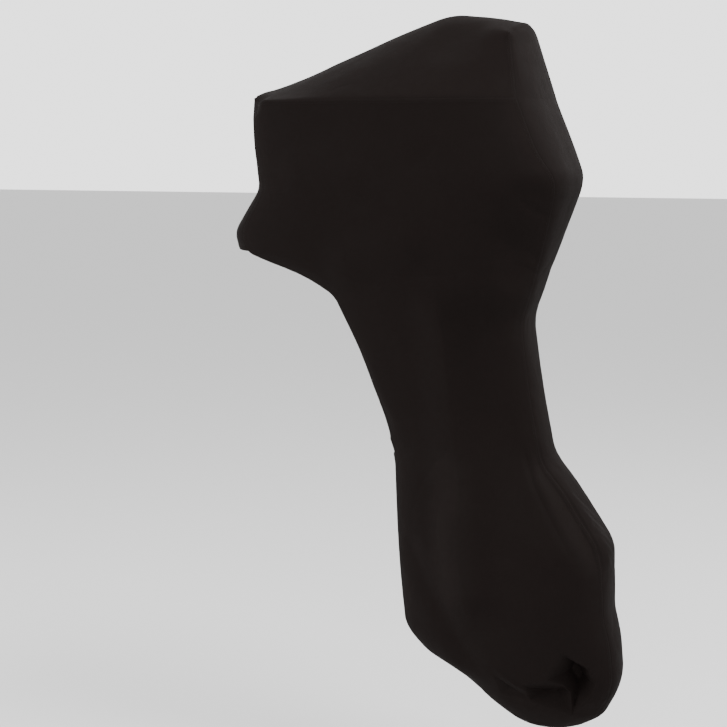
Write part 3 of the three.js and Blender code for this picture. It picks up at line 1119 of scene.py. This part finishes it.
    def rounded_hips(self, line: Array, soft: float) -> Array:
        """One row of the crown with its two hips rounded.

        Args:
            line: points from the port shoulder to the far one.
            soft: how far the rounding reaches to both sides of a hip.

        Returns:
            The points, moved.
        """
        travelled = travelled_along(line)
        turned = unit(np.diff(line, axis=0))
        rounded = line.copy()
        first = len(self.climb) - 1
        for hip in (first, len(line) - 1 - first):
            left = np.clip(soft - np.abs(travelled - travelled[hip]), 0, None)
            rounded += (turned[hip] - turned[hip - 1]) * (left**2 / (4 * max(soft, TINY)))[:, None]
        return rounded

    @staticmethod
    def cut(stem: str, node: str, rows: Sequence[Array], outward: int, finishes: Sequence[Finish]) -> Sheet:
        """A sheet with its first row, last row, first column and last column each sewn one way."""
        edgings = [Edging(edge, finish) for edge, finish in zip(Edge, finishes)]
        return Sheet(f"{stem}_cloth", node, np.array(rows), outward, edgings)

    def side_panel(self, side: Face, sign: int) -> Sheet:
        """A whole side: head, leg and boot.

        Args:
            side: the way that it faces.
            sign: -1 to port and 1 to starboard.

        Returns:
            The piece.
        """
        mouth, chin = self.row_of(self.form.mouth_bottom), self.row_of(self.form.chin)
        top = len(self.levels) - 1
        stretches = ((TOP_STITCHED, 0, mouth), (HEM, mouth, chin), (TOP_STITCHED, chin, top))
        edgings = (
            Edging(Edge.FIRST_COLUMN, TOP_STITCHED),
            Edging(Edge.LAST_ROW, TOP_STITCHED),
            Edging(Edge.FIRST_ROW, SEWN_UNDER),
            *(Edging(Edge.LAST_COLUMN, finish, (first, last)) for finish, first, last in stretches),
        )
        name = side.name.lower()
        points = self.side * np.array([1.0, sign, 1.0])
        return Sheet(f"side_cloth_{name}", f"side_panel_{name}", points, sign, edgings)

    def crown_panel(self) -> Sheet:
        """The pitched top, from one shoulder seam over the ridge to the other."""
        finishes = (TOP_STITCHED, TOP_STITCHED, SEWN_UNDER, SEWN_UNDER)
        return self.cut("crown", "crown_panel", self.crown, -1, finishes)

    def aft_gusset(self) -> Sheet:
        """The strip down the back, from the crown's rear edge to the keel.

        Returns:
            The piece.
        """
        rows = [self.form.across(height, self.shares, Half.AFT) for height in self.levels]
        first = len(self.climb) - 1
        top, below = self.crown[-1][first : first + len(self.shares)], rows[-1]
        rows += [below + (top - below) * share for share in self.climb[1:]]
        return self.cut("aft_gusset", "aft_gusset", rows, 1, (SEWN_UNDER,) * 4)

    def front_panel(self) -> Sheet:
        """The front of the head, from the crown's front edge down to the hem of the chin.

        Returns:
            The piece.
        """
        form, top = self.form, self.crown[0]
        share = top[:, 1] / float(along(form.girth, "mouth", form.shoulder))
        rows = []
        for height in self.levels[self.row_of(form.chin) :]:
            line = form.across(height, share, Half.FRONT)
            line[:, 2] += (top[:, 2] - form.shoulder) * (height - form.chin) / (form.shoulder - form.chin)
            rows.append(line)
        return self.cut("front", "front_panel", rows, -1, (HEM, SEWN_UNDER, SEWN_UNDER, SEWN_UNDER))

    def boot_gusset(self) -> Sheet:
        """The strip from the mouth's lower end down the front of the boot and on under the keel.

        Returns:
            The piece.
        """
        form, keel = self.form, self.side[0][::-1]
        heights = self.levels[self.row_of(form.mouth_bottom) :: -1]
        rows = [form.across(height, self.shares, Half.FRONT) for height in heights]
        front = form.across(0.0, self.shares, Half.FRONT)[:, 0] - keel[0, 0]
        aft = form.across(0.0, self.shares, Half.AFT)[:, 0] - keel[-1, 0]
        travelled = travelled_along(keel)
        for edge, back in zip(keel[1:], travelled[1:] / travelled[-1]):
            x = edge[0] + front * (1 - back) ** KEEL_BOW_FADE + aft * back**KEEL_BOW_FADE
            rows.append(np.stack([x, self.shares * edge[1], np.zeros_like(x)], axis=1))
        return self.cut("boot_gusset", "boot_gusset", rows, 1, (HEM, SEWN_UNDER, SEWN_UNDER, SEWN_UNDER))

    def sheets(self) -> list[Sheet]:
        """All six pieces."""
        sides = [self.side_panel(side, sign) for side, sign in SIDES]
        return [self.crown_panel(), self.front_panel(), *sides, self.aft_gusset(), self.boot_gusset()]


@dataclass(frozen=True)
class Thread:
    """The stitches along the seams and hems.

    Attributes:
        pitch: from one stitch to the next.
        length: of one stitch.
        radius: of the thread.
        sides: of its section.
        ring_places: of the four rings of a stitch, in lengths from its middle.
        ring_heights: how high they stand, in radii.
        ring_girths: how thick they are, in radii.
    """

    pitch: float = 0.0042
    length: float = 0.0032
    radius: float = 0.00030
    sides: int = 5
    ring_places: tuple[float, ...] = (-0.5, -0.28, 0.28, 0.5)
    ring_heights: tuple[float, ...] = (-1.0, 0.55, 0.55, -1.0)
    ring_girths: tuple[float, ...] = (0.45, 1.0, 1.0, 0.45)

    def stitches(self, line: Array, facing: Array) -> Array:
        """Points of every stitch along one line.

        Args:
            line: the points that the row follows.
            facing: the outward direction at each.

        Returns:
            Places by stitch, ring and corner.
        """
        travelled = travelled_along(line)
        places = np.arange(self.pitch, travelled[-1] - self.pitch, self.pitch)
        start, centre, end = (picked(places + self.length * at, travelled, line) for at in (-0.5, 0.0, 0.5))
        run = unit(end - start)
        up = unit(picked(places, travelled, facing))
        up = unit(up - run * np.sum(up * run, axis=1, keepdims=True))
        beside = np.cross(run, up)
        at = np.array(self.ring_places) * self.length
        height, girth = (np.array(rings) * self.radius for rings in (self.ring_heights, self.ring_girths))
        turn = np.linspace(0, 2 * np.pi, self.sides, endpoint=False)
        core = centre[:, None] + at[:, None] * run[:, None] + height[:, None] * up[:, None]
        round_it = np.cos(turn)[:, None] * up[:, None] + np.sin(turn)[:, None] * beside[:, None]
        return core[:, :, None] + girth[:, None, None] * round_it[:, None]

    def build(self, sheet: Sheet, form: Form) -> bpy.types.Object:
        """Makes all the stitches of one piece as a single mesh.

        Args:
            sheet: the piece that they hold.
            form: the cover that it belongs to.

        Returns:
            The stitches, at the origin.
        """
        points = form.placed(np.concatenate([self.stitches(*row) for row in sheet.stitch_lines()]))
        index = np.arange(points[..., 0].size).reshape(points.shape[:3])
        after = np.roll(index, -1, axis=2)
        walls = np.stack([index[:, :-1], after[:, :-1], after[:, 1:], index[:, 1:]], axis=-1).reshape(-1, 4)
        ends = np.concatenate([index[:, 0, ::-1], index[:, -1]])
        piece = new_piece(sheet.name.replace("cloth", "stitches"), points, walls.tolist() + ends.tolist())
        piece.data.shade_smooth()
        return piece


class Signal:
    """A value that runs through a shader; arithmetic on it adds nodes."""

    def __init__(self, board: "Board", socket: bpy.types.NodeSocket) -> None:
        """Wraps an output socket of one of the board's nodes."""
        self.board = board
        self.socket = socket

    def __add__(self, other: "Signal | float") -> "Signal":
        """The sum."""
        return self.board.maths("ADD", self, other)

    def __sub__(self, other: "Signal | float") -> "Signal":
        """The difference."""
        return self.board.maths("SUBTRACT", self, other)

    def __rsub__(self, other: float) -> "Signal":
        """The difference from a number."""
        return self.board.maths("SUBTRACT", other, self)

    def __mul__(self, other: "Signal | float") -> "Signal":
        """The product."""
        return self.board.maths("MULTIPLY", self, other)

    __radd__ = __add__
    __rmul__ = __mul__

    def sine(self) -> "Signal":
        """Its sine."""
        return self.board.maths("SINE", self)

    def held(self) -> "Signal":
        """The value held between 0 and 1."""
        return self.board.node("ShaderNodeClamp", {}, {"Value": self})["Result"]


class Board:
    """The nodes of one material, or of the sky."""

    def __init__(self, owner: bpy.types.Material | bpy.types.World) -> None:
        """Clears the nodes of the material or the sky that owns them.

        Args:
            owner: that material or sky.
        """
        owner.use_nodes = True
        self.owner = owner
        self.tree = owner.node_tree
        self.tree.nodes.clear()

    def node(self, kind: str, settings: dict[str, Any], inputs: Inputs) -> dict[str | int, Signal]:
        """Adds a node.

        Args:
            kind: its type.
            settings: its own properties, set first.
            inputs: a signal or a fixed value for each input named.

        Returns:
            Its outputs, by name and by place.
        """
        made = self.tree.nodes.new(kind)
        for key, value in settings.items():
            setattr(made, key, value)
        for key, value in inputs.items():
            if isinstance(value, Signal):
                self.tree.links.new(value.socket, made.inputs[key])
            else:
                made.inputs[key].default_value = value
        outputs = [Signal(self, socket) for socket in made.outputs]
        return dict(enumerate(outputs)) | {output.socket.name: output for output in outputs}

    def maths(self, operation: str, first: Signal | float, second: Signal | float = 0.0) -> Signal:
        """Adds one step of arithmetic."""
        return self.node("ShaderNodeMath", {"operation": operation}, {0: first, 1: second})["Value"]

    def blend(self, share: Signal, first: Signal | Colour, second: Signal | Colour) -> Signal:
        """Mixes two colours: at a share of 1 it is all the second."""
        return self.node("ShaderNodeMix", {"data_type": "RGBA"}, {0: share, 6: first, 7: second})[2]

    def attribute(self, name: str) -> Signal:
        """A value that the mesh holds at its points."""
        return self.node("ShaderNodeAttribute", {"attribute_name": name}, {})["Fac"]

    def patches(self, size: float, detail: float, offset: float = 0.0) -> Signal:
        """Smooth noise from 0 to 1 in the piece's own coordinates.

        Args:
            size: how far apart its patches are.
            detail: how many finer layers it has.
            offset: moves it to another place.

        Returns:
            The noise.
        """
        place = self.node("ShaderNodeTexCoord", {}, {})["Object"]
        inputs = {0: place, 1: (offset,) * 3}
        moved = self.node("ShaderNodeVectorMath", {"operation": "ADD"}, inputs)["Vector"]
        inputs = {"Vector": moved, "Scale": 1.0 / size, "Detail": detail}
        return self.node("ShaderNodeTexNoise", {}, inputs)[0]

    def bump(self, height: Signal, distance: float, under: dict[str, Signal]) -> Signal:
        """The normal of a relief in which a height of 1 stands out by the distance."""
        inputs = {"Height": height, "Distance": distance, "Strength": 1.0, **under}
        return self.node("ShaderNodeBump", {}, inputs)["Normal"]

    def surface(self, inputs: Inputs) -> bpy.types.Material:
        """Ends the material in a surface with these inputs.

        Args:
            inputs: a signal or a fixed value for each input named.

        Returns:
            The material.
        """
        shader = self.node("ShaderNodeBsdfPrincipled", {}, inputs)["BSDF"]
        self.node("ShaderNodeOutputMaterial", {}, {"Surface": shader})
        return self.owner


@dataclass(frozen=True)
class ClothFinish:
    """Matt black woven polyester with a thin coating.

    Attributes:
        name: of the material.
        yarn: its colour.
        faded: its colour where light has paled it a little, and the colour of its painted highlights.
        worn_and_highlight: its colour along rubbed edges, and the colour of the painted highlight on the
            tops of the yarns.
        roughness: of its surface.
        uneven: how much that varies.
        gloss: strength of its reflection.
        yarn_pitch: from one yarn to the next.
        yarn_height: how far the yarns stand out.
        yarn_top_highlight: how much paler their tops are drawn, a painted highlight, with painted shade left
            in the hollows between them.
        crumple: height of its smallest crumples.
        crumple_size: how far apart they are.
        fade_size: how far apart the patches of fading are.
        fade_from: the noise from which the cloth fades.
        fade_gain: how fast that grows with the noise.
        rubbed: how wide the rubbed strip along an edge is.
        rub_size: how far apart the patches in that strip are.
        edge_wear: how much the wear pales them.
    """

    name: str = "black_woven_polyester"
    yarn: Colour = (0.0070, 0.0051, 0.0047, 1.0)
    faded: Colour = (0.0088, 0.0067, 0.0062, 1.0)
    worn_and_highlight: Colour = (0.0130, 0.0106, 0.0100, 1.0)
    roughness: float = 0.76
    uneven: float = 0.12
    gloss: float = 0.020
    yarn_pitch: float = 0.0006
    yarn_height: float = 0.00007
    yarn_top_highlight: float = 0.25
    crumple: float = 0.0012
    crumple_size: float = 0.030
    fade_size: float = 0.22
    fade_from: float = 0.40
    fade_gain: float = 1.2
    rubbed: float = 0.0020
    rub_size: float = 0.018
    edge_wear: float = 0.6

    def weave(self, board: Board) -> Signal:
        """Height of the weave, from 0 to 1: yarns over and under each other.

        Args:
            board: of the material.

        Returns:
            The height.
        """
        flat = board.node("ShaderNodeUVMap", {"uv_map": "weave"}, {})["UV"]
        sides = board.node("ShaderNodeSeparateXYZ", {}, {"Vector": flat})
        turn = math.pi / self.yarn_pitch
        return 0.5 + 0.5 * (sides["X"] * turn).sine() * (sides["Y"] * turn).sine()

    def material(self) -> bpy.types.Material:
        """Makes the material from the weave outwards.

        Returns:
            The material.
        """
        board = Board(bpy.data.materials.new(self.name))
        weave = self.weave(board)
        rub = (1.0 - board.attribute("from_edge") * (1 / self.rubbed)).held()
        rub = rub * board.patches(self.rub_size, detail=2.0, offset=4.0)
        fade = (board.patches(self.fade_size, detail=3.0) - self.fade_from) * self.fade_gain
        # paler where the fading noise rises, and painted highlights where the mesh's highlight attribute
        # lifts it
        colour = board.blend((fade + board.attribute("faded")).held(), self.yarn, self.faded)
        # painted highlight and shade of the weave: the tops of the yarns drawn paler than the hollows
        # between them
        colour = board.blend(weave * self.yarn_top_highlight, colour, self.worn_and_highlight)
        colour = board.blend(rub * self.edge_wear, colour, self.worn_and_highlight)
        crumple = board.patches(self.crumple_size, detail=3.0, offset=9.0)
        relief = board.bump(weave, self.yarn_height, {"Normal": board.bump(crumple, self.crumple, {})})
        return board.surface(
            {
                "Base Color": colour,
                "Roughness": self.roughness + (crumple - 0.5) * self.uneven,
                "Specular IOR Level": self.gloss,
                "Normal": relief,
            }
        )


@dataclass(frozen=True)
class PlainFinish:
    """One colour all over."""

    name: str
    colour: Colour
    roughness: float
    gloss: float

    def material(self) -> bpy.types.Material:
        """Makes the material."""
        inputs = {"Base Color": self.colour, "Roughness": self.roughness, "Specular IOR Level": self.gloss}
        return Board(bpy.data.materials.new(self.name)).surface(inputs)


SEWING_THREAD = PlainFinish("black_sewing_thread", (0.0090, 0.0068, 0.0062, 1.0), 0.55, 0.04)
PALE_FLOOR = PlainFinish("pale_floor", (0.66, 0.66, 0.66, 1.0), 0.9, 0.5)


@dataclass
class Cover:
    """The whole cover: its cloth, the folds in it, and its thread.

    Attributes:
        form: its outer form.
        slack: its small unevenness.
        thread: its stitches.
        seam_rounding: how far from a seam the cloth begins to round over.
        front_corner_dull: how far the head's front corners are pressed aft, inwards and down.
        front_corner_reach: how far round those corners the cloth moves with them.
    """

    form: Form = field(default_factory=Form)
    slack: Slack = field(default_factory=Slack)
    thread: Thread = field(default_factory=Thread)
    seam_rounding: float = 0.013
    front_corner_dull: tuple[float, float, float] = (0.007, 0.005, -0.007)
    front_corner_reach: float = 0.045

    def hung(self) -> list[Sheet]:
        """Cuts the pieces and hangs them.

        Returns:
            The six pieces in the shape in which they hang, the crown first.
        """
        sheets = Pattern(self.form).sheets()
        seams = Seams(sheets)
        seams.round_over(self.seam_rounding)
        aft, inwards, down = self.front_corner_dull
        for column, (_, sign) in zip((0, -1), SIDES):
            corner = sheets[0].points[0, column]
            seams.dull(corner, (aft, -sign * inwards, down), self.front_corner_reach)
        seams.share_normals()
        for sheet in sheets:
            sheet.drape(FOLDS, TUCKS, self.slack)
        seams.close()
        for sheet in sheets:
            sheet.sew()
        seams.share_normals()
        return sheets

    def build(self) -> None:
        """Makes every piece, dresses it and says what it is."""
        cloth, thread = ClothFinish().material(), SEWING_THREAD.material()
        rests_on: list[bpy.types.Object] = []
        for sheet in self.hung():
            piece = self.dressed(sheet.build(self.form), cloth)
            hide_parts(sheet.node)
            stitches = [self.thread.build(sheet, self.form)] if sheet.stitch_lines() else []
            sewn = [self.dressed(row, thread) for row in stitches]
            width, length, area = sheet.flat_size()
            rests_on = rests_on or [piece]
            faces = len(piece.data.polygons)
            LOG.info("%s: %.3f x %.3f m, %.3f m2, %d faces", piece.name, width, length, area, faces)

    @staticmethod
    def dressed(piece: bpy.types.Object, material: bpy.types.Material) -> bpy.types.Object:
        """Gives a piece its material and makes it a part of the cover.

        Args:
            piece: the piece to dress.
            material: what it is made of.

        Returns:
            The same piece.
        """
        piece.data.materials.append(material)
        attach(piece, BODY)
        return piece


def aimed(name: str, data: Any, middle: Vector, offset: Vector) -> bpy.types.Object:
    """A lamp or camera that stands off the middle of the cover and looks at it.

    Args:
        name: of the object.
        data: the lamp or camera itself.
        middle: of the cover.
        offset: where it stands, from there.

    Returns:
        The object.
    """
    piece = bpy.data.objects.new(name, data)
    piece.location = middle + offset
    piece.rotation_euler = (-offset).to_track_quat("-Z", "Y").to_euler()
    bpy.context.collection.objects.link(piece)
    return piece


@dataclass(frozen=True)
class SoftLight:
    """A square light that shines on the middle of the cover, by its offset from there."""

    name: str
    offset: tuple[float, float, float]
    side: float
    watts: float

    def build(self, middle: Vector) -> None:
        """Places the light.

        Args:
            middle: of the cover.
        """
        lamp = bpy.data.lights.new(self.name, "AREA")
        lamp.size, lamp.energy = self.side, self.watts
        aimed(self.name, lamp, middle, Vector(self.offset))


@dataclass
class Studio:
    """A pale floor, soft lights and the camera.

    Attributes:
        middle: what the camera aims at.
        azimuth: where the camera stands, in degrees round from straight to port.
        elevation: its height above level, in degrees.
        distance: from the middle.
        sensor: width of the sensor in millimetres.
        lens: focal length in widths of the sensor.
        floor_height: of the floor.
        floor_side: half of the floor's width.
        sky: brightness of the surroundings where they are brightest.
        sky_dark: brightness where they are darkest.
        sky_towards: where they are brightest.
        sky_from: how far a direction faces away from there where they are darkest.
        sky_to: how far it faces there where they are brightest.
        lights: the lamps.
    """

    middle: Vector = field(default_factory=lambda: Vector((-0.2034, 0.0, -0.7593)))
    azimuth: float = 23.0
    elevation: float = 8.0
    distance: float = 3.5
    sensor: float = 36.0
    lens: float = 1551.0 / 727.0
    floor_height: float = -1.72
    floor_side: float = 40.0
    sky: float = 2.4
    sky_dark: float = 0.70
    sky_towards: tuple[float, float, float] = (-0.30, 0.95, 0.08)
    sky_from: float = -0.1
    sky_to: float = 0.6
    lights: tuple[SoftLight, ...] = (
        SoftLight("key", (2.2, -0.5, 3.3), 1.6, 185.0),
        SoftLight("front", (-3.4, -2.2, 0.8), 2.0, 150.0),
        SoftLight("rim", (2.4, 2.4, 2.6), 2.0, 80.0),
        SoftLight("fill", (1.6, -3.6, 1.5), 2.5, 70.0),
    )

    def build(self) -> None:
        """Makes the studio."""
        self.lay_floor()
        self.set_sky()
        for light in self.lights:
            light.build(self.middle)
        self.place_camera()

    def lay_floor(self) -> None:
        """Makes the floor, which isn't part of the cover."""
        signs = np.array([(-1, -1), (1, -1), (1, 1), (-1, 1)])
        corners = np.column_stack([signs * self.floor_side, np.full(len(signs), self.floor_height)])
        floor = new_piece("floor", corners, [list(range(len(signs)))])
        floor.data.materials.append(PALE_FLOOR.material())

    def set_sky(self) -> None:
        """Lights the surroundings: bright beyond the cover, and darker round it."""
        board = Board(bpy.data.worlds.new("sky"))
        look = board.node("ShaderNodeTexCoord", {}, {})["Generated"]
        inputs = {0: look, 1: self.sky_towards}
        facing = board.node("ShaderNodeVectorMath", {"operation": "DOT_PRODUCT"}, inputs)["Value"]
        inputs = {"Value": facing, "From Min": self.sky_from, "From Max": self.sky_to}
        inputs |= {"To Min": self.sky_dark, "To Max": self.sky}
        share = board.node("ShaderNodeMapRange", {"interpolation_type": "SMOOTHSTEP"}, inputs)["Result"]
        inputs = {"Color": (1.0, 1.0, 1.0, 1.0), "Strength": share}
        background = board.node("ShaderNodeBackground", {}, inputs)["Background"]
        board.node("ShaderNodeOutputWorld", {}, {"Surface": background})
        bpy.context.scene.world = board.owner

    def place_camera(self) -> None:
        """Stands the camera where the photograph was taken."""
        turn, rise = math.radians(self.azimuth), math.radians(self.elevation)
        level = math.cos(rise)
        away = Vector((math.sin(turn) * level, -math.cos(turn) * level, math.sin(rise)))
        camera = aimed("camera", bpy.data.cameras.new("camera"), self.middle, away * self.distance)
        camera.data.lens = self.sensor * self.lens
        camera.data.sensor_width = self.sensor
        bpy.context.scene.camera = camera


def main() -> None:
    """Builds the cover and its studio."""
    logging.basicConfig(level=logging.INFO, format="%(message)s")
    Cover().build()
    Studio().build()


if __name__ == "__main__":
    main()
